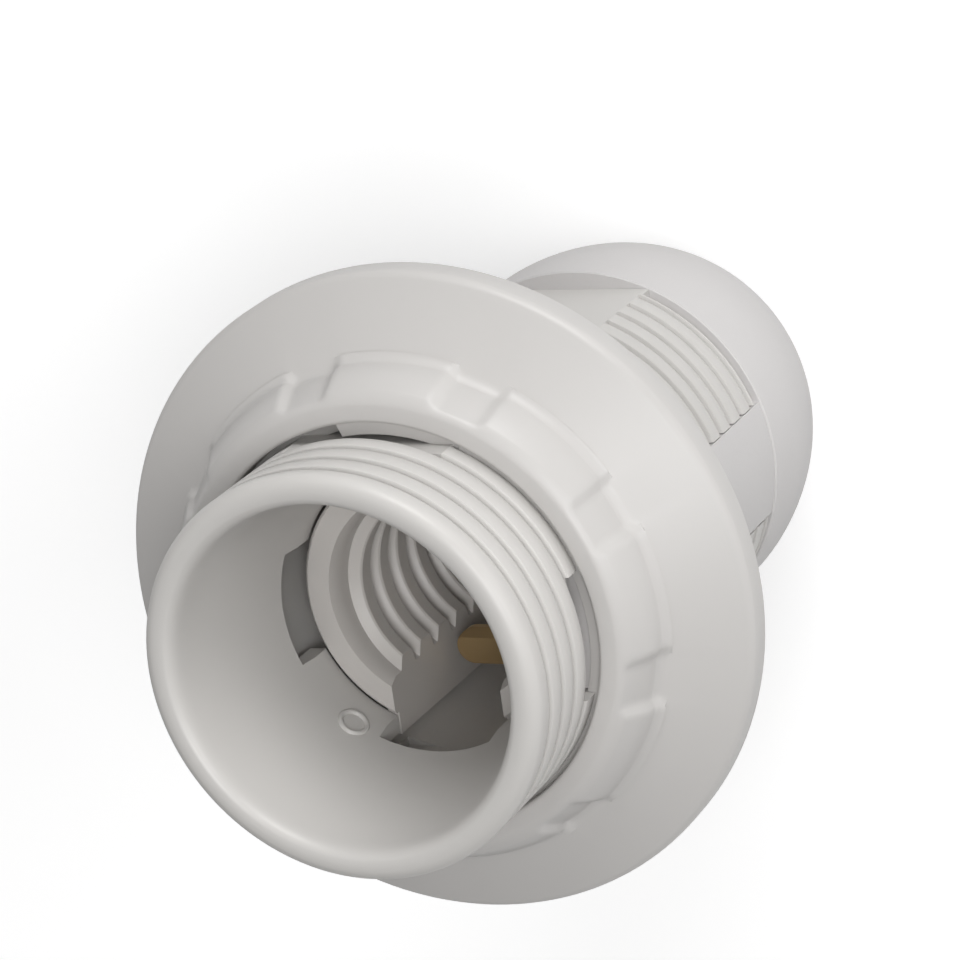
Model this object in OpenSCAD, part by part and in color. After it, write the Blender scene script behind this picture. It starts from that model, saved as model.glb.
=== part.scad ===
/* [Skirt] */
// Length of the skirt from the cap's edge to the mouth
skirt_h = 43.5; // [42:0.5:48]
// Radius over the crests of the outer thread
thread_r = 14; // [13.9:0.1:15]
// Depth of the outer thread's groove
thread_depth = 1; // [0.8:0.05:1.1]
// Pitch of the outer thread
thread_pitch = 2; // [1.75:0.25:2.5]
// Width of the groove at the crests
groove_w = 0.6; // [0.4:0.05:0.8]
// Width of the groove at its bottom
groove_root_w = 0.25; // [0.15:0.05:0.35]
// Distance from the mouth to the first turn of the groove, on the +X side
thread_start = 2.25; // [2:0.05:4]
// Length from the mouth over which the turns go all the way round
full_turns_h = 7.9; // [7:0.1:12]
// Rounding of the lip's outer edge
lip_round = 0.9; // [0.5:0.05:1]
// Bevel of the lip's inner edge
lip_bevel = 0.45; // [0.2:0.05:0.6]
// Radius of the funnel just inside the lip
mouth_r = 11.8; // [11.4:0.05:12]
// Depth of the funnel
funnel_h = 13.2; // [12.5:0.1:13.5]
// Length of the straight throat
throat_h = 1.9; // [1.5:0.1:2]
// Wall of the skirt behind the funnel
skirt_wall = 1.5; // [1.3:0.05:1.55]
// Distance of the two smooth flats from the axis
flat_y = 12.75; // [12.5:0.05:12.9]
// Distance from the mouth to the front of the recesses for the snap wings
recess_depth = 8.4; // [8:0.1:12]

/* [End cap] */
// Length of the cap from its edge to the wire entry face
cap_h = 18.5; // [17:0.5:22]
// Radius of the cap at its edge
cap_r = 14.3; // [14.1:0.05:14.3]
// Wall of the cap
cap_wall = 1.6; // [1.4:0.1:1.8]
// Width of each snap wing
wing_w = 8.4; // [7:0.1:9]
// Length of each snap wing from the cap's edge
wing_h = 33; // [26:0.5:34]
// Thickness of the wings
wing_t = 1.5; // [1.3:0.05:1.55]
// Distance from the mouth to the hook of each snap wing
snap_depth = 24; // [20:0.5:30]
// Radius of the round neck at the wire entry
neck_r = 8.5; // [8:0.1:9.5]
// Length of the neck
neck_h = 2; // [1.5:0.5:3]
// Radius of the tapped wire entry
entry_r = 4.5; // [4.2:0.05:5]
// Length of the tapped wire entry
entry_h = 6; // [5:0.5:7]

/* [Shade ring] */
// Radius of the ring's rim
ring_r = 22.85; // [22:0.05:25]
// Height of the ring
ring_h = 8.1; // [7.5:0.1:10]
// Distance from the mouth to the front of the ring
ring_depth = 9.2; // [8:0.1:11]
// Wall of the hub at its front
hub_wall = 1.85; // [1.5:0.05:2.2]
// Growth of the hub's radius from its front to the flange
hub_flare = 1.1; // [0.8:0.1:1.6]
// Height of the rim band
rim_h = 2.5; // [2:0.1:3]
// Rise of the flange from the rim to the hub
flange_rise = 2.2; // [1:0.1:2.4]
// Wall of the flange and of the rim
flange_wall = 1.5; // [1.2:0.1:1.8]
// Number of grip pads round the hub
pads = 9; // [6:1:12]
// Angle that each pad covers
pad_angle = 28; // [18:0.5:32]
// Angle at which the first pad is centred
pad_phase = 6.5; // [0:0.1:39]
// Height of the pads over the hub
pad_rise = 0.5; // [0.3:0.05:0.8]

/* [Contact carrier] */
// Depth of the front of the two arms below the mouth
arm_depth = 14.8; // [14.7:0.05:15]
// Outer radius of the arms
arm_r = 9.5; // [9.3:0.05:9.7]
// Radius of the bore of the arms
arm_bore_r = 7.3; // [7.1:0.05:7.5]
// Radius over the crests of the lamp thread
lamp_crest_r = 6.45; // [6.2:0.05:6.7]
// Pitch of the lamp thread
lamp_pitch = 2.82; // [2.5:0.02:3]
// Turns of the lamp thread
lamp_turns = 4.75; // [3.75:0.25:4.75]
// Rise of the lamp thread's first turn over the floor
lamp_rise = 3.3; // [2:0.1:3.4]
// Depth of the carrier's floor below the mouth
floor_depth = 34; // [33:0.5:37]
// Thickness of the floor
floor_t = 2.5; // [2:0.1:3]
// Half the width of the gap between the arms at the front
gap_front = 4.1; // [3.9:0.05:4.3]
// Half the width of that gap at the floor
gap_floor = 3.6; // [3.5:0.05:3.8]
// Length of the terminal towers behind the floor
tower_h = 7; // [6:0.5:8]
// Half the width of the towers
tower_x = 4.6; // [4.4:0.1:5]

/* [Contacts] */
// Thickness of the brass strip
strip_t = 0.5; // [0.4:0.05:0.6]
// Width of the side contact's leg and tongue
tongue_w = 2.5; // [2:0.1:2.6]
// Distance of the tongue's inner edge from the axis
tongue_y = 5.75; // [5.4:0.05:6]
// Depth of the side contact's tongue below the mouth
tongue_depth = 23.4; // [20:0.2:26]
// Distance of the terminals from the axis
terminal_y = 7; // [6.8:0.1:7.4]
// Side of the square terminal plates and nuts
plate_w = 5; // [4.8:0.1:5.1]
// Thickness of the clamp plates
plate_t = 0.8; // [0.6:0.1:1]
// Thickness of the terminal nuts
nut_t = 1.8; // [1.5:0.1:2]
// Radius of the terminal screws' shanks
shank_r = 1.45; // [1.2:0.05:1.5]
// Radius of the terminal screws' heads
head_r = 2.6; // [2.3:0.1:2.8]
// Height of the terminal screws' heads
head_h = 1.8; // [1.4:0.1:2]
// Distance of the rivet from the axis
rivet_y = 2.4; // [2.3:0.05:2.5]
// Radius of the rivet's shank
rivet_r = 0.9; // [0.7:0.05:1]
// Radius of the rivet's lower head
rivet_head_r = 1.5; // [1.3:0.05:1.5]

/* [Clearances] */
// Gap between pieces that are fitted together
fit_gap = 0.1; // [0.08:0.01:0.15]
// Gap between a screw and the holes that it passes
hole_gap = 0.1; // [0.05:0.05:0.15]
// Gap between the outer crests and the shade ring's bore
ring_gap = 0.35; // [0.3:0.05:0.5]
// Gap between the arms and the throat
throat_gap = 0.2; // [0.15:0.05:0.3]

/* [Hidden] */
round_fn = 96;
hole_fn = 48;
// More than any piece is wide, for cuts that run right through
through = 60;
bite = 0.25;
slot_gap = 0.05;

plastic = [0.80, 0.79, 0.77];
cap_plastic = [0.82, 0.80, 0.79];
brass = [0.78, 0.62, 0.32];
steel = [0.72, 0.72, 0.73];

total_h = cap_h + skirt_h;
root_r = thread_r - thread_depth;
cavity_r = root_r - skirt_wall;
spigot_h = 3;
band_h = lip_round + 0.15;
shy_r = 0.03;
wing_r = thread_r - 0.05;
recess_r = wing_r - wing_t - fit_gap;
spigot_r = recess_r;
throat_r = arm_r + throat_gap;
throat_wall = 1.1;
window_depth = 12.1;
window_w = 8;
notch_y = 11.4;
recess_w = wing_w + 2 * fit_gap;
thread_steps = 30;
whole_turns = floor((skirt_h - thread_start) / thread_pitch);
snap_h = 2.4;
snap_w = 5;
dome_z = cap_h - 4;
dome_power = 1.75;
neck_edge = 0.4;
ring_bore_r = thread_r + ring_gap;
hub_front_r = ring_bore_r + hub_wall;
hub_foot_r = hub_front_r + hub_flare;
floor_r = cavity_r - fit_gap;
fin_y = floor_r - 1.2;
fin_t = 0.8;
arm_bevel = 0.4;
lamp_crest_w = 1.3;
lamp_base_w = 2.1;
leg_x = gap_floor - strip_t - slot_gap;

function height(depth) = total_h - depth;

// Radius of the cap's dome, from its full width at u = 0 to the neck at u = 1
function dome(u, r_end, r_full) = r_end + (r_full - r_end) * pow(1 - pow(u, dome_power), 1 / dome_power);

// One turn after another of a thread ridge, wound right-handed and closed at both ends.
// An inward ridge stands on its outer radius, an outward one on its inner radius. No part of
// it rises above z_to, where a ridge may run into a band.
module thread_ridge(r_in, w_in, r_out, w_out, pitch, z_from, z_to, turns, steps, inward = false) {
    n = round(turns * steps);
    soft = steps / 8;
    full = function (i) max(0, min(1, i / soft - 0.1, (n - i) / soft - 0.1));
    shy = 0.2;
    near = function (i) inward ? r_out - (r_out - r_in) * (shy + (1 - shy) * full(i)) : r_in;
    far = function (i) inward ? r_out : r_in + (r_out - r_in) * (shy + (1 - shy) * full(i));
    points = [for (i = [0:n])
        let (a = 360 * i / steps, z = z_from + pitch * i / steps)
        for (p = [[near(i), -w_in / 2], [far(i), -w_out / 2], [far(i), w_out / 2], [near(i), w_in / 2]])
            [p[0] * cos(a), p[0] * sin(a), min(z + p[1], z_to)]];
    sides = [for (i = [0:n - 1], j = [0:3])
        let (b = 4 * i + j, c = 4 * i + (j + 1) % 4)
        for (f = [[b, c, c + 4], [b, c + 4, b + 4]]) f];
    polyhedron(points, concat([[0, 3, 2, 1]], sides, [[4 * n, 4 * n + 1, 4 * n + 2, 4 * n + 3]]));
}

// A block between two radii on the +X side, as wide as given and open outwards
module side_block(r_from, r_to, width, z_from, z_to) {
    intersection() {
        translate([0, -width / 2, z_from]) cube([r_to + 1, width, z_to - z_from]);
        difference() {
            translate([0, 0, z_from - 1]) cylinder(r = r_to, h = z_to - z_from + 2, $fn = round_fn);
            translate([0, 0, z_from - 2]) cylinder(r = r_from, h = z_to - z_from + 4, $fn = round_fn);
        }
    }
}

// Outer moulding: rounded lip, funnel mouth, straight throat and thin wall, and a plain tail for the cap
module skirt_shell() {
    throat_end = funnel_h + throat_h;
    throat_out_r = throat_r + throat_wall;
    rotate_extrude($fn = round_fn) polygon(concat(
        [[mouth_r, height(1.3 * lip_bevel)], [mouth_r + lip_bevel, total_h]],
        [for (a = [90:-15:0])
            [thread_r + lip_round * (cos(a) - 1), total_h + lip_round * (sin(a) - 1)]],
        [[thread_r, height(band_h)],
         [root_r, height(band_h)],
         [root_r, cap_h],
         [spigot_r, cap_h],
         [spigot_r, cap_h - spigot_h],
         [cavity_r, cap_h - spigot_h],
         [cavity_r, height(window_depth - 0.4)],
         [throat_out_r, height(window_depth - 0.4)],
         [throat_out_r, height(throat_end)],
         [throat_r, height(throat_end)],
         [throat_r, height(funnel_h)]]));
}

module threaded_skirt() {
    rear_h = skirt_h - full_turns_h;
    throat_end = funnel_h + throat_h;
    flat_x = sqrt(pow(thread_r, 2) - pow(flat_y, 2)) - 0.15;
    first_ridge = thread_start - thread_pitch / 2;
    color(plastic) difference() {
        union() {
            skirt_shell();
            thread_ridge(root_r - bite, thread_pitch - groove_root_w, thread_r - shy_r, thread_pitch - groove_w,
                thread_pitch, height(first_ridge + whole_turns * thread_pitch), height(band_h - slot_gap),
                whole_turns + 0.4, thread_steps);
            // the turns end at the two smooth flats
            for (s = [0, 180]) rotate([0, 0, s]) translate([-flat_x, cavity_r + bite, cap_h + bite])
                cube([2 * flat_x, flat_y - cavity_r, rear_h - 2 * bite]);
        }
        for (s = [-1, 1]) translate([0, s * (flat_y + through / 2), cap_h + rear_h / 2])
            cube([through, through, rear_h], center = true);
        for (s = [0, 180]) rotate([0, 0, s]) {
            // recess of a snap wing, then the window that takes its hook
            side_block(recess_r, thread_r + 1, recess_w, cap_h - 0.001, height(recess_depth));
            translate([cavity_r - 1, -snap_w / 2 - fit_gap, height(snap_depth + snap_h + fit_gap)])
                cube([4, snap_w + 2 * fit_gap, snap_h + 2 * fit_gap]);
            // window in the throat beside each arm
            side_block(throat_r - 0.1, cavity_r, window_w, height(throat_end + 1), height(window_depth));
            // slot across the throat, in line with the gap between the arms
            translate([-gap_front, throat_r / 2, height(throat_end + 1)])
                cube([2 * gap_front, notch_y - throat_r / 2, throat_end + 1 - window_depth]);
        }
    }
}

module end_cap() {
    inner_r = spigot_r + fit_gap;
    stop_r = spigot_r - 0.7;
    boss_r = entry_r + 1.5;
    floor_z = neck_h + cap_wall;
    outer = [for (u = [0:0.1:1]) [dome(u, neck_r, cap_r), dome_z - (dome_z - neck_h) * u]];
    inner = [for (u = [0.9:-0.15:0]) [dome(u, boss_r, stop_r), dome_z - (dome_z - floor_z) * u]];
    color(cap_plastic) union() {
        rotate_extrude($fn = round_fn) polygon(concat(
            [[cap_r, cap_h]],
            outer,
            [[neck_r, neck_edge], [neck_r - neck_edge, 0], [entry_r, 0], [entry_r, entry_h],
             [boss_r, entry_h], [boss_r, floor_z]],
            inner,
            [[stop_r, cap_h - spigot_h - fit_gap], [inner_r, cap_h - spigot_h - fit_gap], [inner_r, cap_h]]));
        for (s = [0, 180]) rotate([0, 0, s]) {
            side_block(wing_r - wing_t, wing_r, wing_w, cap_h - 1, cap_h + wing_h);
            side_block(cavity_r + fit_gap, wing_r - 0.5, snap_w, height(snap_depth + snap_h), height(snap_depth));
        }
    }
}

// Profile of the ring from its bore, over the soft hub and the flange, to the hollow behind
module ring_section() {
    top = height(ring_depth);
    base = top - ring_h;
    foot = base + rim_h + flange_rise;
    edge = 0.8;
    blend = 0.9;
    polygon(concat(
        [[ring_bore_r, base], [ring_bore_r, top - 0.3], [ring_bore_r + 0.3, top]],
        [for (a = [90:-30:0]) [hub_front_r + edge * (cos(a) - 1), top + edge * (sin(a) - 1)]],
        [for (a = [180:30:270]) [hub_foot_r + blend * (1 + cos(a)), foot + blend * (1 + sin(a))]],
        [for (a = [70:-35:0]) [ring_r - edge + edge * cos(a), base + rim_h - edge + edge * sin(a)]],
        [[ring_r, base], [ring_r - flange_wall, base],
         [ring_r - flange_wall, base + rim_h - flange_wall],
         [hub_foot_r, foot - flange_wall], [hub_foot_r - 0.8, base]]));
}

module shade_ring() {
    top = height(ring_depth);
    foot = top - ring_h + rim_h + flange_rise;
    // a pad's sides slope, so that it is wider at the hub than at its face
    inside_r = ring_bore_r + 1;
    outside_r = hub_foot_r + 2;
    slope = 7;
    color(plastic) union() {
        rotate_extrude($fn = round_fn) ring_section();
        intersection() {
            for (i = [0:pads - 1]) rotate([0, 0, 360 / pads * i + pad_phase])
                translate([0, 0, foot - 0.8]) linear_extrude(ring_h) polygon([
                    for (p = [[inside_r, -1], [outside_r, -1], [outside_r, 1], [inside_r, 1]])
                        let (a = p[1] * (pad_angle / 2 + (p[0] == inside_r ? slope / 2 : -slope / 2)))
                            [p[0] * cos(a), p[0] * sin(a)]]);
            rotate_extrude($fn = round_fn) polygon([
                [hub_front_r - 0.9, foot - 0.8],
                [hub_front_r - 0.9, top - 0.3],
                [hub_front_r + pad_rise - 0.6, top - 0.5],
                [hub_front_r + pad_rise, top - 1.1],
                [hub_foot_r + pad_rise, foot + 0.4],
                [hub_foot_r + pad_rise, foot - 0.8]]);
        }
    }
}

// Gap between the arms, narrower at the floor because of the moulding draft
module arm_gap() {
    floor_z = height(floor_depth);
    rotate([90, 0, 0]) translate([0, 0, -through / 2]) linear_extrude(through) polygon([
        [-gap_floor, floor_z], [gap_floor, floor_z],
        [gap_front, height(arm_depth) + 1], [-gap_front, height(arm_depth) + 1]]);
}

module terminal_tower() {
    base = height(floor_depth + floor_t);
    nut_z = base - 2.7 - nut_t;
    difference() {
        intersection() {
            translate([-tower_x, terminal_y - 2.9, base - tower_h]) cube([2 * tower_x, 5.8, tower_h + 0.5]);
            translate([0, 0, base - tower_h]) cylinder(r = floor_r - 0.8, h = tower_h + 0.5, $fn = round_fn);
        }
        translate([-plate_w / 2 - fit_gap, terminal_y - plate_w / 2 - fit_gap, nut_z - fit_gap])
            cube([plate_w + 2 * fit_gap, plate_w + 4, nut_t + 2 * fit_gap]);
        translate([0, terminal_y, base - tower_h - 1])
            cylinder(r = shank_r + hole_gap, h = tower_h, $fn = hole_fn);
    }
}

module contact_carrier() {
    floor_z = height(floor_depth);
    front_z = height(arm_depth);
    color(plastic) difference() {
        union() {
            difference() {
                union() {
                    translate([0, 0, floor_z - 0.5])
                        cylinder(r = arm_r, h = floor_depth - arm_depth - arm_bevel / 2 + 0.5, $fn = round_fn);
                    translate([0, 0, front_z - arm_bevel / 2])
                        cylinder(r1 = arm_r, r2 = arm_r - arm_bevel / 2, h = arm_bevel / 2, $fn = round_fn);
                    // fins at the arms' ends, which seat behind the throat
                    for (s = [0, 180]) rotate([0, 0, s]) translate([gap_floor, -fin_y, floor_z - 0.5])
                        cube([gap_front - gap_floor + fin_t, 2 * fin_y, floor_depth - arm_depth]);
                }
                difference() {
                    translate([0, 0, floor_z - 1]) cylinder(r = arm_bore_r, h = through, $fn = round_fn);
                    thread_ridge(lamp_crest_r, lamp_crest_w, arm_bore_r + bite, lamp_base_w, lamp_pitch,
                        floor_z + lamp_rise, front_z, lamp_turns, 24, inward = true);
                }
                translate([0, 0, front_z - 2 * arm_bevel])
                    cylinder(r1 = arm_bore_r, r2 = arm_bore_r + arm_bevel, h = 2 * arm_bevel, $fn = round_fn);
                arm_gap();
            }
            translate([0, 0, floor_z - floor_t]) cylinder(r = floor_r, h = floor_t, $fn = round_fn);
            for (s = [0, 180]) rotate([0, 0, s]) terminal_tower();
        }
        // slots for the legs of the two strips
        for (s = [0, 180]) rotate([0, 0, s])
            translate([-gap_floor, tongue_y - slot_gap, floor_z - floor_t - tower_h - 1])
                cube([strip_t + 2 * slot_gap, tongue_w + 2 * slot_gap, floor_t + tower_h + 2]);
        translate([0, rivet_y, floor_z - floor_t - 1])
            cylinder(r = rivet_r + hole_gap, h = floor_t + 2, $fn = hole_fn);
    }
}

// Flat tab under a terminal screw and the leg that rises from its edge, for the +Y terminal
module terminal_tab(leg_top) {
    tab_z = height(floor_depth + floor_t) - tower_h - strip_t;
    difference() {
        union() {
            translate([-leg_x - strip_t, terminal_y - 2.5, tab_z]) cube([leg_x + strip_t + 2.5, 5, strip_t]);
            translate([-leg_x - strip_t, tongue_y, tab_z]) cube([strip_t, tongue_w, leg_top - tab_z]);
        }
        translate([0, terminal_y, tab_z - 1]) cylinder(r = shank_r + hole_gap, h = 3, $fn = hole_fn);
    }
}

module side_contact() {
    top = height(tongue_depth);
    tip_x = gap_front - 1;
    crease_y = tongue_y + 0.6;
    color(brass) rotate([0, 0, 180]) union() {
        terminal_tab(top);
        intersection() {
            translate([-leg_x - strip_t, 0, 0]) rotate([90, 0, 90]) linear_extrude(leg_x + strip_t + tip_x) polygon([
                [tongue_y, top - strip_t - 0.6], [crease_y, top - strip_t], [tongue_y + tongue_w, top - strip_t],
                [tongue_y + tongue_w, top], [crease_y, top], [tongue_y, top - 0.6]]);
            union() {
                translate([-leg_x - strip_t, tongue_y, top - 3])
                    cube([leg_x + strip_t + tip_x - tongue_w / 2, tongue_w, 4]);
                translate([tip_x - tongue_w / 2, tongue_y + tongue_w / 2, top - 3])
                    cylinder(r = tongue_w / 2, h = 4, $fn = hole_fn);
            }
        }
    }
}

module centre_contact() {
    floor_z = height(floor_depth);
    spring_rise = 2.8;
    tongue_half = 1.8;
    color(brass) difference() {
        union() {
            terminal_tab(floor_z + strip_t);
            translate([-leg_x - strip_t, tongue_y, floor_z])
                cube([leg_x + strip_t + tongue_half, tongue_w, strip_t]);
            // foot, then the sprung tongue that bends up to the lamp's tip
            translate([-tongue_half, 0, 0]) rotate([90, 0, 90]) linear_extrude(2 * tongue_half) polygon([
                [tongue_y + 0.5, floor_z], [tongue_y + 0.5, floor_z + strip_t], [1.1, floor_z + strip_t],
                [-1.2, floor_z + spring_rise + strip_t], [-2.4, floor_z + spring_rise + strip_t],
                [-4, floor_z + spring_rise - 0.9], [-3.6, floor_z + spring_rise - 1.2],
                [-2.2, floor_z + spring_rise], [-1.4, floor_z + spring_rise], [0.9, floor_z]]);
        }
        translate([0, rivet_y, floor_z - 1]) cylinder(r = rivet_r + hole_gap, h = 3, $fn = hole_fn);
    }
}

module centre_rivet() {
    floor_z = height(floor_depth);
    grip = floor_t + strip_t;
    head_t = 0.5;
    color(brass) translate([0, rivet_y, floor_z - floor_t]) union() {
        cylinder(r = rivet_r, h = grip, $fn = hole_fn);
        translate([0, 0, grip])
            cylinder(r1 = rivet_head_r - 0.3, r2 = rivet_head_r - 0.7, h = head_t, $fn = hole_fn);
        translate([0, 0, -head_t])
            cylinder(r1 = rivet_head_r - 0.6, r2 = rivet_head_r, h = head_t, $fn = hole_fn);
    }
}

module terminal_nut() {
    base = height(floor_depth + floor_t);
    color(brass) difference() {
        translate([-plate_w / 2, terminal_y - plate_w / 2, base - 2.7 - nut_t]) cube([plate_w, plate_w, nut_t]);
        translate([0, terminal_y, base - 6]) cylinder(r = shank_r + hole_gap / 2, h = 5, $fn = hole_fn);
    }
}

module clamp_plate() {
    tab_z = height(floor_depth + floor_t) - tower_h - strip_t;
    color(steel) difference() {
        translate([-plate_w / 2, terminal_y - plate_w / 2, tab_z - plate_t]) cube([plate_w, plate_w, plate_t]);
        translate([0, terminal_y, tab_z - 2]) cylinder(r = shank_r + hole_gap, h = 3, $fn = hole_fn);
    }
}

module terminal_screw() {
    seat_z = height(floor_depth + floor_t) - tower_h - strip_t - plate_t;
    slot_w = 0.7;
    slot_depth = 0.8;
    color(steel) translate([0, terminal_y, seat_z]) difference() {
        union() {
            translate([0, 0, -head_h]) cylinder(r = head_r, h = head_h, $fn = hole_fn);
            cylinder(r = shank_r, h = tower_h - 1, $fn = hole_fn);
        }
        translate([-head_r - 1, -slot_w / 2, -head_h - 1]) cube([2 * head_r + 2, slot_w, slot_depth + 1]);
    }
}

threaded_skirt();
end_cap();
shade_ring();
contact_carrier();
side_contact();
centre_contact();
centre_rivet();
rotate([0, 0, 180]) terminal_nut();  // side_terminal_nut
terminal_nut();  // centre_terminal_nut
rotate([0, 0, 180]) clamp_plate();  // side_clamp_plate
clamp_plate();  // centre_clamp_plate
rotate([0, 0, 180]) terminal_screw();  // side_terminal_screw
terminal_screw();  // centre_terminal_screw
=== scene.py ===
import math

import bmesh
import bpy
from mathutils import Matrix, Vector


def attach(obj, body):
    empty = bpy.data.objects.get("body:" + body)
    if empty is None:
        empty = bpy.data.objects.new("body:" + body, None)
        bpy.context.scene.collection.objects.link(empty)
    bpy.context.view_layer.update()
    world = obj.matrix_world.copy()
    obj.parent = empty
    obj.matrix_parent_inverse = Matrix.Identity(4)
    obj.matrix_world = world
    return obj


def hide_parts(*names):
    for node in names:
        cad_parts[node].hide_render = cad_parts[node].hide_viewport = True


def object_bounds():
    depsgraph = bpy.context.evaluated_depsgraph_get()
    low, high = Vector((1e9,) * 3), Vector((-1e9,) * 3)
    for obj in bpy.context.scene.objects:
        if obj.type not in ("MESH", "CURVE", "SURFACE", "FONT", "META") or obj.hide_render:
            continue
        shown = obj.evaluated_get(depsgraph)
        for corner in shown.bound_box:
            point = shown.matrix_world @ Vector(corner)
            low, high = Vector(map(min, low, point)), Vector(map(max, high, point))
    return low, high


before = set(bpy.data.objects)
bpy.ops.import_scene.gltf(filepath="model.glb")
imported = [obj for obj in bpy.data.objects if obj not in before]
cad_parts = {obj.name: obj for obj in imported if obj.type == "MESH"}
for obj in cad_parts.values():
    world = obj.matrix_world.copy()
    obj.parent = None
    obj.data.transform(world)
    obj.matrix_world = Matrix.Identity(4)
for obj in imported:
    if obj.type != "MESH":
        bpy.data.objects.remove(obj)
cad_box = [list(corner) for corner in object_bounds()]
scene = bpy.context.scene
scene.view_settings.view_transform = "Standard"

# The camera looks down into the lamp mouth at the photograph's angle. Its lens is a long one,
# set well back, and the picture is turned so that the cap lies up and to the right.
view_azimuth = math.radians(36)
view_elevation = math.radians(57.99)
view_roll = math.radians(-129.84)
view_distance = 0.2558
view_point = Vector((0.00221, 0.00661, 0.042))
towards_camera = Vector((
    math.cos(view_elevation) * math.cos(view_azimuth),
    math.cos(view_elevation) * math.sin(view_azimuth),
    math.sin(view_elevation)))
camera = bpy.data.objects.new("camera", bpy.data.cameras.new("camera"))
camera.data.sensor_width = 36
camera.data.lens = 142.5
camera.data.clip_start = 0.01
camera.data.clip_end = 20
level = (Matrix.Rotation(view_azimuth + math.pi / 2, 4, "Z")
         @ Matrix.Rotation(math.pi / 2 - view_elevation, 4, "X"))
camera.matrix_world = (Matrix.Translation(view_point + towards_camera * view_distance)
                       @ level @ Matrix.Rotation(view_roll, 4, "Z"))
scene.collection.objects.link(camera)
scene.camera = camera

# A plain pale floor under the holder. The camera sees it a little brighter than it is lit, so that
# it reads as white paper and still takes the holder's soft shadow.
floor_half = 3.0
paper_grey = 0.8
paper_lift = 0.4
floor = bpy.data.objects.new("floor", bpy.data.meshes.new("floor"))
floor.data.from_pydata(
    [(-floor_half, -floor_half, 0), (floor_half, -floor_half, 0),
     (floor_half, floor_half, 0), (-floor_half, floor_half, 0)],
    [], [(0, 1, 2, 3)])
scene.collection.objects.link(floor)
paper = bpy.data.materials.new("paper")
paper.use_nodes = True
links = paper.node_tree.links
paper.node_tree.nodes.clear()
sheet_colour = paper.node_tree.nodes.new("ShaderNodeBsdfDiffuse")
sheet_colour.inputs["Color"].default_value = (paper_grey, paper_grey, paper_grey, 1)
sheet_lift = paper.node_tree.nodes.new("ShaderNodeEmission")
sheet_lift.inputs["Color"].default_value = (1, 1, 1, 1)
sees = paper.node_tree.nodes.new("ShaderNodeLightPath")
lift_amount = paper.node_tree.nodes.new("ShaderNodeMath")
lift_amount.operation = "MULTIPLY"
lift_amount.inputs[1].default_value = paper_lift
both = paper.node_tree.nodes.new("ShaderNodeAddShader")
paper_out = paper.node_tree.nodes.new("ShaderNodeOutputMaterial")
links.new(sees.outputs["Is Camera Ray"], lift_amount.inputs[0])
links.new(lift_amount.outputs[0], sheet_lift.inputs["Strength"])
links.new(sheet_colour.outputs[0], both.inputs[0])
links.new(sheet_lift.outputs[0], both.inputs[1])
links.new(both.outputs[0], paper_out.inputs["Surface"])
floor.data.materials.append(paper)

# Soft studio light: an even surround, a broad panel on the side that faces up in the picture
# and two weaker ones, to the right and beside the camera.
surround_strength = 0.26
lit_point = Vector((0, 0, 0.035))
panel_distance = 0.8
surround = bpy.data.worlds.new("surround")
surround.use_nodes = True
surround.node_tree.nodes["Background"].inputs["Color"].default_value = (1, 1, 1, 1)
surround.node_tree.nodes["Background"].inputs["Strength"].default_value = surround_strength
scene.world = surround


def light_panel(name, direction, size, power):
    """A round soft light that looks at the middle of the holder."""
    lamp = bpy.data.lights.new(name, "AREA")
    lamp.shape = "DISK"
    lamp.size = size
    lamp.energy = power
    panel = bpy.data.objects.new(name, lamp)
    aim = Vector(direction).normalized()
    panel.matrix_world = (Matrix.Translation(lit_point + aim * panel_distance)
                          @ aim.to_track_quat("Z", "Y").to_matrix().to_4x4())
    scene.collection.objects.link(panel)


light_panel("top_panel", direction=(0.25, 0.95, 0.35), size=0.45, power=2.8)
light_panel("side_panel", direction=(0.85, 0.25, 0.45), size=0.4, power=1.5)
light_panel("camera_panel", direction=(0.42, 0.15, 0.9), size=0.4, power=2.8)

# Threaded skirt: the outer moulding, one piece of glossy white thermoplastic. Its outside thread is
# moulded with wide flat crests and narrow grooves, and broken by two flats and by the recesses that
# take the cap's wings. The mouth is a funnel with a rounded lip and a small raised ring on its wall.
mm = 0.001  # the sizes of every piece are in millimetres, and depths run back from the mouth
mouth_z = cad_box[1][2] / mm
thread_r = 14.0
root_r = 13.0
thread_pitch = 2.0
groove_w = 0.6
groove_root_w = 0.25
first_groove = 2.25
lip_round = 0.9
lip_inside = [(12.5, 0), (12.26, 0.12), (12.04, 0.4), (11.88, 0.8)]
band_h = 1.05
cap_edge_z = 18.5
flat_y = 12.75
flat_fill = (12.2, 12.4)
flat_fill_half = 0.6
turns_end = 7.9
recess_depth = 8.4
recess_r = 12.35
recess_w = 8.6
cavity_r = 11.5
cavity_depth = 11.7
cavity_foot_z = 15.5
shoulder_r = 10.8
throat_r = 9.7
throat_ease = (0.1, 0.3)
funnel_r = 11.76
funnel_start = 1.4
funnel_h = 13.2
throat_end = 15.1
window_depth = 12.1
window_w = 8
window_r = (9.6, 11.4)
hook_window_r = (10.4, thread_r)
hook_window_depth = (23.9, 26.5)
hook_window_half = 2.6
gap_front = 4.1
gap_r = (4.85, 11.4)
mark_r = 0.95
mark_rise = 0.2
mark_depth = 12.0
mark_turn = -126
mark_out = 9.95
overrun = 5
around = 144


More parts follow.
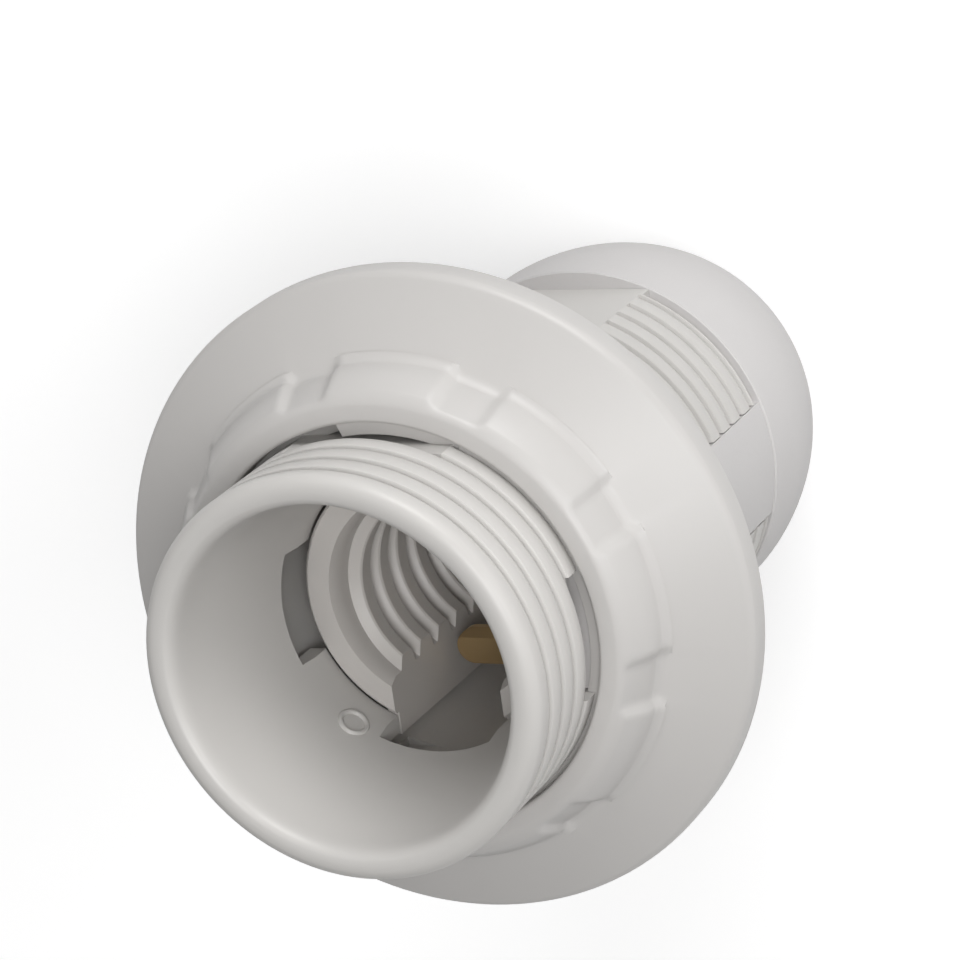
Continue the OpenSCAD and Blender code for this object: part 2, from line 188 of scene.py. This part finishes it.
def moulded_skin_group(cloud_scale=90, cloud_detail=3, grain_detail=2):
    """The skin of every moulding: an even colour with faint cloudiness, a slightly uneven gloss and
    a fine grain left by the mould."""
    group = bpy.data.node_groups.new("moulded_skin", "ShaderNodeTree")
    socket = group.interface.new_socket
    for name, kind, value in (
            ("Colour", "NodeSocketColor", (0.8, 0.8, 0.8, 1)),
            ("Cloudiness", "NodeSocketFloat", 0.03),
            ("Gloss roughness", "NodeSocketFloat", 0.3),
            ("Gloss spread", "NodeSocketFloat", 0.06),
            ("Grain scale", "NodeSocketFloat", 3000.0),
            ("Grain depth", "NodeSocketFloat", 0.1)):
        socket(name=name, in_out="INPUT", socket_type=kind).default_value = value
    for name, kind in (
            ("Colour", "NodeSocketColor"),
            ("Roughness", "NodeSocketFloat"),
            ("Height", "NodeSocketFloat")):
        socket(name=name, in_out="OUTPUT", socket_type=kind)
    nodes = group.nodes
    wire = group.links.new
    given = nodes.new("NodeGroupInput")
    result = nodes.new("NodeGroupOutput")
    place = nodes.new("ShaderNodeTexCoord")
    clouds = nodes.new("ShaderNodeTexNoise")
    clouds.inputs["Scale"].default_value = cloud_scale
    clouds.inputs["Detail"].default_value = cloud_detail
    grain = nodes.new("ShaderNodeTexNoise")
    grain.inputs["Detail"].default_value = grain_detail
    wire(place.outputs["Object"], clouds.inputs["Vector"])
    wire(place.outputs["Object"], grain.inputs["Vector"])
    wire(given.outputs["Grain scale"], grain.inputs["Scale"])
    centred = nodes.new("ShaderNodeMath")
    centred.operation = "SUBTRACT"
    centred.inputs[1].default_value = 0.5
    wire(clouds.outputs["Fac"], centred.inputs[0])
    shade = nodes.new("ShaderNodeMath")
    shade.operation = "MULTIPLY_ADD"
    shade.inputs[2].default_value = 1.0
    wire(centred.outputs[0], shade.inputs[0])
    wire(given.outputs["Cloudiness"], shade.inputs[1])
    tint = nodes.new("ShaderNodeVectorMath")
    tint.operation = "SCALE"
    wire(given.outputs["Colour"], tint.inputs[0])
    wire(shade.outputs[0], tint.inputs["Scale"])
    wire(tint.outputs[0], result.inputs["Colour"])
    rough = nodes.new("ShaderNodeMath")
    rough.operation = "MULTIPLY_ADD"
    wire(centred.outputs[0], rough.inputs[0])
    wire(given.outputs["Gloss spread"], rough.inputs[1])
    wire(given.outputs["Gloss roughness"], rough.inputs[2])
    wire(rough.outputs[0], result.inputs["Roughness"])
    deep = nodes.new("ShaderNodeMath")
    deep.operation = "MULTIPLY"
    wire(grain.outputs["Fac"], deep.inputs[0])
    wire(given.outputs["Grain depth"], deep.inputs[1])
    wire(deep.outputs[0], result.inputs["Height"])
    return group


moulded_skin = moulded_skin_group()


def plastic(name, colour, roughness, grain_scale, grain_depth, bump_strength=0.3):
    """The material of one moulding, with that skin in its own values."""
    material = bpy.data.materials.new(name)
    material.use_nodes = True
    nodes = material.node_tree.nodes
    wire = material.node_tree.links.new
    shader = nodes["Principled BSDF"]
    shader.inputs["IOR"].default_value = 1.5
    skin = nodes.new("ShaderNodeGroup")
    skin.node_tree = moulded_skin
    skin.inputs["Colour"].default_value = (*colour, 1)
    skin.inputs["Gloss roughness"].default_value = roughness
    skin.inputs["Grain scale"].default_value = grain_scale
    skin.inputs["Grain depth"].default_value = grain_depth
    bump = nodes.new("ShaderNodeBump")
    bump.inputs["Strength"].default_value = bump_strength
    bump.inputs["Distance"].default_value = 0.1 * mm
    wire(skin.outputs["Colour"], shader.inputs["Base Color"])
    wire(skin.outputs["Roughness"], shader.inputs["Roughness"])
    wire(skin.outputs["Height"], bump.inputs["Height"])
    wire(bump.outputs["Normal"], shader.inputs["Normal"])
    return material


def height(depth):
    """The height of a place that is this deep behind the mouth."""
    return mouth_z - depth


def arc(centre_r, centre_z, radius, start, stop, steps):
    """Points (radius, height) on part of a circle, between two angles in degrees."""
    return [(centre_r + radius * math.cos(math.radians(start + (stop - start) * k / steps)),
             centre_z + radius * math.sin(math.radians(start + (stop - start) * k / steps)))
            for k in range(steps + 1)]


def lathe(profile, steps, closed=True):
    """A profile of (radius, height) points turned about the holder's axis."""
    shape = bmesh.new()
    rings = [[shape.verts.new((radius * mm * math.cos(2 * math.pi * k / steps),
                               radius * mm * math.sin(2 * math.pi * k / steps), level * mm))
              for k in range(steps)] for radius, level in profile]
    following = rings[1:] + rings[:1] if closed else rings[1:]
    for lower, upper in zip(rings, following):
        for k in range(steps):
            after = (k + 1) % steps
            shape.faces.new((lower[k], lower[after], upper[after], upper[k]))
    return shape


def block(low, high):
    """A box between two corners."""
    shape = bmesh.new()
    bmesh.ops.create_cube(shape, size=1)
    for vert in shape.verts:
        vert.co = Vector([(high[k] if vert.co[k] > 0 else low[k]) * mm for k in range(3)])
    return shape


def twins(axis, near, far, half, z_from, z_to):
    """Two like boxes on opposite sides of the holder's axis, along X (0) or along Y (1)."""
    boxes = []
    for side in (-1, 1):
        reach = sorted((side * near, side * far))
        low, high = (reach[0], -half), (reach[1], half)
        if axis == 1:
            low, high = low[::-1], high[::-1]
        boxes.append(block((*low, z_from), (*high, z_to)))
    return boxes


def curved_block(r_from, r_to, width, z_from, z_to, side=1, steps=15):
    """A block on one side of the axis whose inner and outer faces are round about it."""
    shape = bmesh.new()
    corners = []
    for k in range(steps + 1):
        across = width * (k / steps - 0.5)
        for radius in (r_from, r_to):
            for level in (z_from, z_to):
                corners.append(shape.verts.new(
                    (side * math.sqrt(radius ** 2 - across ** 2) * mm, across * mm, level * mm)))
    for k in range(steps):
        a, b = corners[4 * k:4 * k + 4], corners[4 * k + 4:4 * k + 8]
        for p, q in ((0, 1), (1, 3), (3, 2), (2, 0)):
            shape.faces.new((a[p], a[q], b[q], b[p]))
    for end in (corners[:4], corners[-4:]):
        shape.faces.new((end[0], end[1], end[3], end[2]))
    return shape


def gathered(shapes):
    """Several shapes in one."""
    whole = shapes[0]
    for shape in shapes[1:]:
        extra = bpy.data.meshes.new("extra")
        shape.to_mesh(extra)
        shape.free()
        whole.from_mesh(extra)
        bpy.data.meshes.remove(extra)
    return whole


def as_object(name, shape):
    """An object of a closed shape, with its normals outward."""
    bmesh.ops.remove_doubles(shape, verts=shape.verts, dist=0.002 * mm)
    bmesh.ops.recalc_face_normals(shape, faces=shape.faces)
    mesh = bpy.data.meshes.new(name)
    shape.to_mesh(mesh)
    shape.free()
    thing = bpy.data.objects.new(name, mesh)
    scene.collection.objects.link(thing)
    return thing


def settle(thing):
    """Works an object's modifiers into its mesh and takes them off."""
    graph = bpy.context.evaluated_depsgraph_get()
    mesh = bpy.data.meshes.new_from_object(thing.evaluated_get(graph))
    thing.modifiers.clear()
    thing.data = mesh


def combine(thing, operation, shapes):
    """Cuts or adds closed shapes that don't touch each other."""
    tool = as_object("tool", gathered(shapes))
    step = thing.modifiers.new("step", "BOOLEAN")
    step.operation = operation
    step.solver = "EXACT"
    step.object = tool
    settle(thing)
    bpy.data.objects.remove(tool)


def finish_faces(thing, material, crease=30):
    """Smooth faces with sharp edges where they turn by more than the crease angle."""
    shape = bmesh.new()
    shape.from_mesh(thing.data)
    bmesh.ops.remove_doubles(shape, verts=shape.verts, dist=0.001 * mm)
    bmesh.ops.dissolve_degenerate(shape, edges=shape.edges, dist=0.001 * mm)
    for face in shape.faces:
        face.smooth = True
        face.material_index = 0
    for edge in shape.edges:
        edge.smooth = len(edge.link_faces) == 2 and edge.calc_face_angle(0) < math.radians(crease)
    shape.to_mesh(thing.data)
    shape.free()
    thing.data.materials.clear()
    thing.data.materials.append(material)


def maths_in(group):
    """A short way to add Math nodes to a group: a term is a number or another node's output."""
    def maths(operation, first, second=None):
        node = group.nodes.new("ShaderNodeMath")
        node.operation = operation
        for place, value in enumerate((first, second)):
            if isinstance(value, (int, float)):
                node.inputs[place].default_value = value
            elif value is not None:
                group.links.new(value, node.inputs[place])
        return node.outputs[0]
    return maths


def end_tree(group, given, surface):
    """Ends a tree with real geometry in the material it was given."""
    real = group.nodes.new("GeometryNodeRealizeInstances")
    coat = group.nodes.new("GeometryNodeSetMaterial")
    result = group.nodes.new("NodeGroupOutput")
    group.links.new(surface, real.inputs[0])
    group.links.new(real.outputs[0], coat.inputs["Geometry"])
    group.links.new(given.outputs["Material"], coat.inputs["Material"])
    group.links.new(coat.outputs[0], result.inputs["Geometry"])


def wound_thread_group():
    """A profile of one pitch, wound about Z turn after turn, and held between two heights."""
    group = bpy.data.node_groups.new("wound_thread", "GeometryNodeTree")
    socket = group.interface.new_socket
    socket(name="Profile", in_out="INPUT", socket_type="NodeSocketGeometry")
    for name in ("Pitch", "Turns", "Steps", "Start height", "Lowest", "Highest",
                 "Foot radius", "Top radius"):
        socket(name=name, in_out="INPUT", socket_type="NodeSocketFloat")
    socket(name="Material", in_out="INPUT", socket_type="NodeSocketMaterial")
    socket(name="Geometry", in_out="OUTPUT", socket_type="NodeSocketGeometry")
    nodes = group.nodes
    wire = group.links.new
    given = nodes.new("NodeGroupInput")
    maths = maths_in(group)

    def either(test, yes, no):
        return maths("ADD", maths("MULTIPLY", test, yes),
                      maths("MULTIPLY", maths("SUBTRACT", 1, test), no))

    size = nodes.new("GeometryNodeAttributeDomainSize")
    wire(given.outputs["Profile"], size.inputs[0])
    count = size.outputs["Point Count"]
    sheet = nodes.new("GeometryNodeMeshGrid")
    wire(maths("ADD", maths("MULTIPLY", given.outputs["Turns"], given.outputs["Steps"]), 1),
         sheet.inputs["Vertices X"])
    wire(count, sheet.inputs["Vertices Y"])
    index = nodes.new("GeometryNodeInputIndex").outputs[0]
    along = maths("FLOOR", maths("DIVIDE", maths("ADD", index, 0.5), count))
    across = maths("SUBTRACT", index, maths("MULTIPLY", along, count))
    pick = nodes.new("GeometryNodeSampleIndex")
    pick.data_type = "FLOAT_VECTOR"
    wire(given.outputs["Profile"], pick.inputs["Geometry"])
    wire(nodes.new("GeometryNodeInputPosition").outputs[0], pick.inputs["Value"])
    wire(across, pick.inputs["Index"])
    point = nodes.new("ShaderNodeSeparateXYZ")
    wire(pick.outputs[0], point.inputs[0])
    turned = maths("DIVIDE", along, given.outputs["Steps"])
    level = maths("ADD", maths("ADD", point.outputs["Y"], given.outputs["Start height"]),
                   maths("MULTIPLY", turned, given.outputs["Pitch"]))
    above = maths("GREATER_THAN", level, given.outputs["Highest"])
    below = maths("LESS_THAN", level, given.outputs["Lowest"])
    radius = either(above, given.outputs["Top radius"],
                    either(below, given.outputs["Foot radius"], point.outputs["X"]))
    held = maths("MINIMUM", maths("MAXIMUM", level, given.outputs["Lowest"]), given.outputs["Highest"])
    angle = maths("MULTIPLY", turned, 2 * math.pi)
    place = nodes.new("ShaderNodeCombineXYZ")
    wire(maths("MULTIPLY", radius, maths("COSINE", angle)), place.inputs["X"])
    wire(maths("MULTIPLY", radius, maths("SINE", angle)), place.inputs["Y"])
    wire(held, place.inputs["Z"])
    bend = nodes.new("GeometryNodeSetPosition")
    wire(sheet.outputs["Mesh"], bend.inputs["Geometry"])
    wire(place.outputs[0], bend.inputs["Position"])
    merge = nodes.new("GeometryNodeMergeByDistance")
    merge.inputs["Distance"].default_value = 0.002 * mm
    wire(bend.outputs[0], merge.inputs["Geometry"])
    end_tree(group, given, merge.outputs[0])
    return group


wound_thread = wound_thread_group()


def set_inputs(modifier, values):
    """Gives a Geometry Nodes modifier its values by the sockets' identifiers."""
    for item in modifier.node_group.interface.items_tree:
        if item.in_out == "INPUT" and item.name in values:
            modifier[item.identifier] = values[item.name]


def whole_profile(upper):
    """One pitch of a thread from its upper half, which runs from the groove to the crest."""
    return [(radius, -level) for radius, level in upper] + upper[::-1]


def thread_sheet(profile, pitch, start, lowest, highest, foot_r, top_r, steps, material):
    """The surface of a thread as an open shape; profile points are (radius, height from the middle)."""
    line = bpy.data.meshes.new("thread_line")
    line.from_pydata([(radius * mm, level * mm, 0) for radius, level in profile],
                     [(k, k + 1) for k in range(len(profile) - 1)], [])
    thing = bpy.data.objects.new("thread_line", line)
    scene.collection.objects.link(thing)
    wind = thing.modifiers.new("wind", "NODES")
    wind.node_group = wound_thread
    first = start - pitch * math.ceil((start - lowest) / pitch + 1)
    set_inputs(wind, {
        "Pitch": pitch * mm, "Turns": float(math.ceil((highest - first) / pitch + 1)),
        "Steps": float(steps), "Start height": first * mm, "Lowest": lowest * mm, "Highest": highest * mm,
        "Foot radius": foot_r * mm, "Top radius": top_r * mm, "Material": material})
    settle(thing)
    shape = bmesh.new()
    shape.from_mesh(thing.data)
    bpy.data.objects.remove(thing)
    return shape


skirt_plastic = plastic("skirt_plastic", colour=(0.585, 0.57, 0.55), roughness=0.36,
                        grain_scale=2500, grain_depth=0.05)
half_pitch = thread_pitch / 2
crest_half = half_pitch - groove_w / 2
root_half = half_pitch - groove_root_w / 2
outer_turns = thread_sheet(
    whole_profile([(root_r, half_pitch), (root_r, root_half), (thread_r - 0.12, crest_half + 0.03),
                   (thread_r - 0.03, crest_half - 0.02), (thread_r, crest_half - 0.1)]),
    thread_pitch, height(first_groove - half_pitch), cap_edge_z, height(band_h), root_r, thread_r, around,
    skirt_plastic)
skirt_wall = lathe(
    [(thread_r, height(band_h))]
    + arc(thread_r - lip_round, height(lip_round), lip_round, 0, 62, 6) + [(13.2, height(0))]
    + [(radius, height(depth)) for radius, depth in lip_inside]
    + [(funnel_r, height(funnel_start)),
       (throat_r + throat_ease[0], height(funnel_h - throat_ease[1])),
       (throat_r, height(funnel_h + throat_ease[1])), (throat_r, height(throat_end)),
       (shoulder_r, height(throat_end)), (shoulder_r, height(cavity_depth)),
       (cavity_r, height(cavity_depth)), (cavity_r, cavity_foot_z), (recess_r, cavity_foot_z),
       (recess_r, cap_edge_z), (root_r, cap_edge_z)],
    around, closed=False)
skirt = as_object("skirt_piece", gathered([outer_turns, skirt_wall]))
flat_x = math.sqrt(thread_r ** 2 - flat_y ** 2)
combine(skirt, "UNION", [
    block((-flat_x, side * flat_fill[0] - flat_fill_half, cap_edge_z + 0.1),
          (flat_x, side * flat_fill[1] + flat_fill_half, height(turns_end + 0.1)))
    for side in (-1, 1)])
combine(skirt, "DIFFERENCE",
        twins(1, flat_y, flat_y + 2 * overrun, 4 * overrun, cap_edge_z - overrun, height(turns_end))
        + [curved_block(recess_r, thread_r + 1, recess_w, cap_edge_z - 1, height(recess_depth), side)
           for side in (-1, 1)])
combine(skirt, "DIFFERENCE",
        twins(0, *hook_window_r, hook_window_half,
              height(hook_window_depth[1]), height(hook_window_depth[0]))
        + [curved_block(*window_r, window_w, height(throat_end + 1), height(window_depth), side)
           for side in (-1, 1)]
        + twins(1, *gap_r, gap_front, height(throat_end + 1), height(window_depth)))
mark = lathe(arc(mark_r, 0, mark_rise, 0, 330, 11), 36)
funnel_lean = math.atan2(funnel_r - throat_r - throat_ease[0],
                         funnel_h - throat_ease[1] - funnel_start)
bmesh.ops.transform(mark, verts=mark.verts, matrix=(
    Matrix.Rotation(math.radians(mark_turn), 4, "Z")
    @ Matrix.Translation((mark_out * mm, 0, height(mark_depth) * mm))
    @ Matrix.Rotation(-math.pi / 2 + funnel_lean, 4, "Y")))
combine(skirt, "UNION", [mark])
finish_faces(skirt, skirt_plastic)
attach(skirt, "holder")
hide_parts("threaded_skirt")

# End cap: a domed cap of fine-grained matt white plastic. Its two long wings lie in the skirt's
# recesses and hook into the windows there. The wire comes in through its neck.
cap_r = 14.3
cap_front_r = 14.0
cap_lining_r = 11.65
cap_seat_z = 15.4
neck_r = 8.5
neck_h = 2.0
dome_z = 14.5
dome_power = 1.75
dome_steps = 28
lining_steps = 10
entry_r = 4.5
entry_h = 6
chamber_r = 6.0
chamber_z = 3.6
wing_w = 8.4
wing_top = 51.5
wing_r = 13.95
wing_in_r = 12.45
hook_r = (11.6, 13.4)
hook_w = 5
hook_depth = (24, 26.4)
cap_around = 180


def dome(share, r_end, r_full):
    """The radius of the domed wall at a share of its height, from its full radius to its end."""
    return r_end + (r_full - r_end) * (1 - share ** dome_power) ** (1 / dome_power)


cap_plastic = plastic("cap_plastic", colour=(0.60, 0.585, 0.58), roughness=0.55,
                      grain_scale=3500, grain_depth=0.6)
dome_line = [(dome(k / dome_steps, neck_r, cap_r), dome_z - (dome_z - neck_h) * k / dome_steps)
             for k in range(dome_steps + 1)]
lining = [(dome(k / lining_steps, chamber_r, cap_lining_r),
           dome_z - (dome_z - chamber_z) * k / lining_steps) for k in range(lining_steps - 1, -1, -1)]
cap = as_object("cap_piece", lathe(
    [(wing_in_r, cap_edge_z), (cap_front_r, cap_edge_z), (14.12, cap_edge_z - 0.1),
     (14.25, cap_edge_z - 1.2)] + dome_line
    + [(neck_r, 0.4), (neck_r - 0.4, 0), (entry_r, 0), (entry_r, entry_h), (chamber_r, entry_h),
       (chamber_r, chamber_z)] + lining
    + [(cap_lining_r, cap_seat_z), (wing_in_r, cap_seat_z)], cap_around))
combine(cap, "UNION", [
    curved_block(wing_in_r, wing_r, wing_w, cap_edge_z - 1, wing_top, side) for side in (-1, 1)])
combine(cap, "UNION", [
    curved_block(*hook_r, hook_w, height(hook_depth[1]), height(hook_depth[0]), side) for side in (-1, 1)])
finish_faces(cap, cap_plastic)
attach(cap, "holder")
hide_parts("end_cap")

# Shade ring: a flanged ring of satin white plastic that screws along the skirt's thread and clamps a
# lampshade's collar. Nine low pads with sloping sides round its hub give the fingers a grip.
ring_r = 22.85
ring_depth = 9.2
ring_h = 8.1
rim_h = 2.5
cone_h = 2.2
ring_wall = 1.5
ring_top = height(ring_depth)
ring_base = ring_top - ring_h
rim_z = ring_base + rim_h
foot_z = rim_z + cone_h
bore_r = 14.35
inner_crest_r = 13.4
inner_crest_half = 0.1
inner_foot_half = 0.34
inner_inset = 0.6
hub_front_r = 16.2
hub_foot_r = 17.3
hub_round = 0.7
pads = 9
pad_angle = 28.0
pad_slope = 2.0
pad_phase = 6.5
pad_rise = 0.45
ring_round = 0.8
ring_around = 360
ring_crease = 24
grip_fade = 0.6
grip_clear = 0.05


def grip_pads_group():
    """Lifts a turned surface away from its axis into pads, where its mask says so."""
    group = bpy.data.node_groups.new("grip_pads", "GeometryNodeTree")
    socket = group.interface.new_socket
    socket(name="Geometry", in_out="INPUT", socket_type="NodeSocketGeometry")
    for name in ("Pads", "Pad angle", "Slope", "Phase", "Rise"):
        socket(name=name, in_out="INPUT", socket_type="NodeSocketFloat")
    socket(name="Material", in_out="INPUT", socket_type="NodeSocketMaterial")
    socket(name="Geometry", in_out="OUTPUT", socket_type="NodeSocketGeometry")
    nodes = group.nodes
    wire = group.links.new
    given = nodes.new("NodeGroupInput")
    maths = maths_in(group)
    where = nodes.new("GeometryNodeInputPosition").outputs[0]
    parts = nodes.new("ShaderNodeSeparateXYZ")
    wire(where, parts.inputs[0])
    turn = maths("DEGREES", maths("ARCTAN2", parts.outputs["Y"], parts.outputs["X"]))
    spacing = maths("DIVIDE", 360, given.outputs["Pads"])
    from_first = maths("ADD", maths("SUBTRACT", turn, given.outputs["Phase"]),
                       maths("DIVIDE", spacing, 2))
    in_pad = maths("SUBTRACT", maths("FLOORED_MODULO", from_first, spacing),
                   maths("DIVIDE", spacing, 2))
    edge = maths("SUBTRACT", maths("DIVIDE", given.outputs["Pad angle"], 2), maths("ABSOLUTE", in_pad))
    ramp = maths("ADD", maths("DIVIDE", edge, given.outputs["Slope"]), 0.5)
    lift = maths("MINIMUM", maths("MAXIMUM", ramp, 0), 1)
    mask = nodes.new("GeometryNodeInputNamedAttribute")
    mask.data_type = "FLOAT"
    mask.inputs["Name"].default_value = "grip"
    rise = maths("MULTIPLY", maths("MULTIPLY", lift, mask.outputs["Attribute"]), given.outputs["Rise"])
    flat = nodes.new("ShaderNodeCombineXYZ")
    wire(parts.outputs["X"], flat.inputs["X"])
    wire(parts.outputs["Y"], flat.inputs["Y"])
    outward = nodes.new("ShaderNodeVectorMath")
    outward.operation = "NORMALIZE"
    wire(flat.outputs[0], outward.inputs[0])
    push = nodes.new("ShaderNodeVectorMath")
    push.operation = "SCALE"
    wire(outward.outputs[0], push.inputs[0])
    wire(rise, push.inputs["Scale"])
    move = nodes.new("GeometryNodeSetPosition")
    wire(given.outputs["Geometry"], move.inputs["Geometry"])
    wire(push.outputs[0], move.inputs["Offset"])
    end_tree(group, given, move.outputs[0])
    return group


ring_plastic = plastic("ring_plastic", colour=(0.56, 0.545, 0.53), roughness=0.38,
                       grain_scale=2500, grain_depth=0.15)
inner_turns = thread_sheet(
    whole_profile([(bore_r, half_pitch), (bore_r, inner_foot_half),
                   (inner_crest_r, inner_crest_half)]),
    thread_pitch, height(first_groove), ring_base + inner_inset, ring_top - inner_inset, bore_r, bore_r,
    ring_around, ring_plastic)
ring_line = (
    [(bore_r, ring_top - inner_inset), (bore_r, ring_top - 0.3)]
    + arc(bore_r + 0.3, ring_top - 0.3, 0.3, 170, 90, 4)
    + arc(hub_front_r - hub_round, ring_top - hub_round, hub_round, 90, 14, 8)
    + [(hub_foot_r - 0.25, foot_z + 1.0)]
    + arc(hub_foot_r + 0.75, foot_z + 0.8, 1.0, 194, 248, 6)
    + [(hub_foot_r + 0.7, foot_z - 0.25)]
    + arc(ring_r - ring_round, rim_z - ring_round, ring_round, 68, 0, 8)
    + arc(ring_r - 0.25, ring_base + 0.25, 0.25, 0, -90, 3)
    + [(ring_r - ring_wall, ring_base), (ring_r - ring_wall, rim_z - ring_wall),
       (hub_foot_r, foot_z - ring_wall), (hub_foot_r - 0.8, ring_base), (bore_r, ring_base),
       (bore_r, ring_base + inner_inset)])
ring = as_object("ring_piece", gathered([inner_turns, lathe(ring_line, ring_around, closed=False)]))
grip = ring.data.attributes.new("grip", "FLOAT", "POINT")
for place, vert in enumerate(ring.data.vertices):
    level = vert.co.z / mm
    radius = math.hypot(vert.co.x, vert.co.y) / mm
    if hub_front_r - 0.9 < radius < hub_foot_r + 0.6 and level > foot_z - 0.2:
        grip.data[place].value = max(0.0, min(1.0, (ring_top - grip_clear - level) / grip_fade))
lift = ring.modifiers.new("pads", "NODES")
lift.node_group = grip_pads_group()
set_inputs(lift, {
    "Pads": float(pads), "Pad angle": pad_angle, "Slope": pad_slope, "Phase": pad_phase,
    "Rise": pad_rise * mm, "Material": ring_plastic})
settle(ring)
finish_faces(ring, ring_plastic, crease=ring_crease)
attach(ring, "ring")
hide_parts("shade_ring")

# Contact carrier: the inner moulding of satin white plastic, pushed into the skirt from behind. Two
# half-round arms carry the lamp's thread, fins brace them, and towers behind the floor hold the nuts.
arm_depth = 14.8
floor_depth = 34
arm_front = height(arm_depth)
floor_z = height(floor_depth)
floor_r = 11.4
floor_t = 2.5
arm_r = 9.5
arm_bore_r = 7.3
arm_foot_z = floor_z - 0.5
lamp_crest_r = 6.45
lamp_crest_half = 0.6
lamp_flank_half = 0.74
lamp_foot_half = 1.08
lamp_pitch = 2.82
lamp_rise = 3.3
lamp_top = 45.6
lamp_foot = 29.6
gap_floor = 3.6
fin_at = (4.25, 8.75)
fin_half = (0.65, 1.45)
fin_depth = 15.3
tower_base = floor_z - floor_t
tower_y = (4.1, 9.6)
tower_half = 4.6
tower_h = 7
slot_at = (3.3, 7.0)
slot_half = (0.3, 1.3)
pocket_y = (4.4, 12.6)
pocket_half = 2.6
pocket_z = (tower_base - 4.6, tower_base - 2.6)
carrier_around = 96
carrier_plastic = plastic("carrier_plastic", colour=(0.59, 0.565, 0.54), roughness=0.35,
                          grain_scale=2500, grain_depth=0.1)
half_turn = lamp_pitch / 2
lamp_turns = thread_sheet(
    whole_profile([(arm_bore_r, half_turn), (arm_bore_r, lamp_foot_half),
                   (lamp_crest_r + 0.1, lamp_flank_half), (lamp_crest_r, lamp_crest_half)]),
    lamp_pitch, floor_z + lamp_rise, lamp_foot, lamp_top, arm_bore_r, arm_bore_r, carrier_around,
    carrier_plastic)
carrier = as_object("carrier_piece", gathered([lamp_turns, lathe(
    [(arm_bore_r, lamp_top), (arm_bore_r, arm_front - 0.8), (arm_bore_r + 0.4, arm_front),
     (arm_r - 0.2, arm_front), (arm_r, arm_front - 0.2), (arm_r, arm_foot_z),
     (arm_bore_r, arm_foot_z), (arm_bore_r, lamp_foot)], carrier_around, closed=False)]))
combine(carrier, "UNION", [
    block((side * fin_at[0] - fin_half[0], end * fin_at[1] - fin_half[1], floor_z - 0.4),
          (side * fin_at[0] + fin_half[0], end * fin_at[1] + fin_half[1], height(fin_depth)))
    for side in (-1, 1) for end in (-1, 1)])
gap = block((-gap_floor, -4 * overrun, floor_z), (gap_floor, 4 * overrun, arm_front + 1))
for vert in gap.verts:
    if vert.co.z > arm_front * mm:
        vert.co.x *= gap_front / gap_floor
combine(carrier, "DIFFERENCE", [gap])
combine(carrier, "UNION", [lathe([(0.001, tower_base), (floor_r, tower_base),
                                  (floor_r, floor_z), (0.001, floor_z)], carrier_around)])
combine(carrier, "UNION", twins(1, *tower_y, tower_half, tower_base - tower_h, tower_base + 0.5))
combine(carrier, "DIFFERENCE", [
    block((end * -slot_at[0] - slot_half[0], end * slot_at[1] - slot_half[1], tower_base - tower_h - 1),
          (end * -slot_at[0] + slot_half[0], end * slot_at[1] + slot_half[1], floor_z + 0.1))
    for end in (-1, 1)] + twins(1, *pocket_y, pocket_half, *pocket_z))
finish_faces(carrier, carrier_plastic)
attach(carrier, "holder")
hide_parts("contact_carrier")

# Side contact: a strip of rolled brass, stamped and bent. Its foot is clamped at its terminal, its
# leg rises through the carrier's floor, and the tongue bent over at its top reaches into the gap
# between the arms and presses on the lamp's threaded cap.
brass_colour = (0.62, 0.45, 0.24)
metal_roughness = 0.35
metal_crease = 28


def metal(name, colour):
    """A bright metal with the soft gloss of a stamped or turned part."""
    material = bpy.data.materials.new(name)
    material.use_nodes = True
    shader = material.node_tree.nodes["Principled BSDF"]
    shader.inputs["Base Color"].default_value = (*colour, 1)
    shader.inputs["Metallic"].default_value = 1
    shader.inputs["Roughness"].default_value = metal_roughness
    return material


def smoothed_copy(node, material):
    """A node's own shape with its points merged, its faces smooth and its edges sharp."""
    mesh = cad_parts[node].data.copy()
    mesh.materials.clear()
    mesh.materials.append(material)
    shape = bmesh.new()
    shape.from_mesh(mesh)
    bmesh.ops.remove_doubles(shape, verts=shape.verts, dist=0.002 * mm)
    for face in shape.faces:
        face.smooth = True
        face.material_index = 0
    for edge in shape.edges:
        edge.smooth = edge.calc_face_angle(0) < math.radians(metal_crease)
    shape.to_mesh(mesh)
    shape.free()
    piece = bpy.data.objects.new(node + "_piece", mesh)
    scene.collection.objects.link(piece)
    return piece


brass = metal("brass", brass_colour)
side_contact = smoothed_copy("side_contact", brass)
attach(side_contact, "holder")
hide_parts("side_contact")

# Centre contact: a strip of the same brass, stamped and bent, that lies on the carrier's floor. Its
# sprung end touches the tip of the lamp, and its other end is clamped at the second terminal.
centre_contact = smoothed_copy("centre_contact", brass)
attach(centre_contact, "holder")
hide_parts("centre_contact")

# Centre rivet: a small brass rivet, set through the centre contact and the carrier's floor so that
# the contact can't turn.
centre_rivet = smoothed_copy("centre_rivet", brass)
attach(centre_rivet, "holder")
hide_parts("centre_rivet")

# Terminal nuts: two square nuts of brass. Each lies in the pocket of its tower, which keeps it from
# turning when the screw is driven.
for node in ("side_terminal_nut", "centre_terminal_nut"):
    nut = smoothed_copy(node, brass)
    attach(nut, "holder")
    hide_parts(node)

# Clamp plates: two small stamped plates of zinc-plated steel. Each lies under the head of its screw
# and presses the strands of the wire against the foot of its contact.
steel_colour = (0.68, 0.68, 0.69)
steel = metal("steel", steel_colour)
for node in ("side_clamp_plate", "centre_clamp_plate"):
    plate = smoothed_copy(node, steel)
    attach(plate, "holder")
    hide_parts(node)

# Terminal screws: two slotted screws of zinc-plated steel, driven from behind through the clamp
# plates and the feet of the contacts into the nuts.
for node in ("side_terminal_screw", "centre_terminal_screw"):
    screw = smoothed_copy(node, steel)
    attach(screw, "holder")
    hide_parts(node)
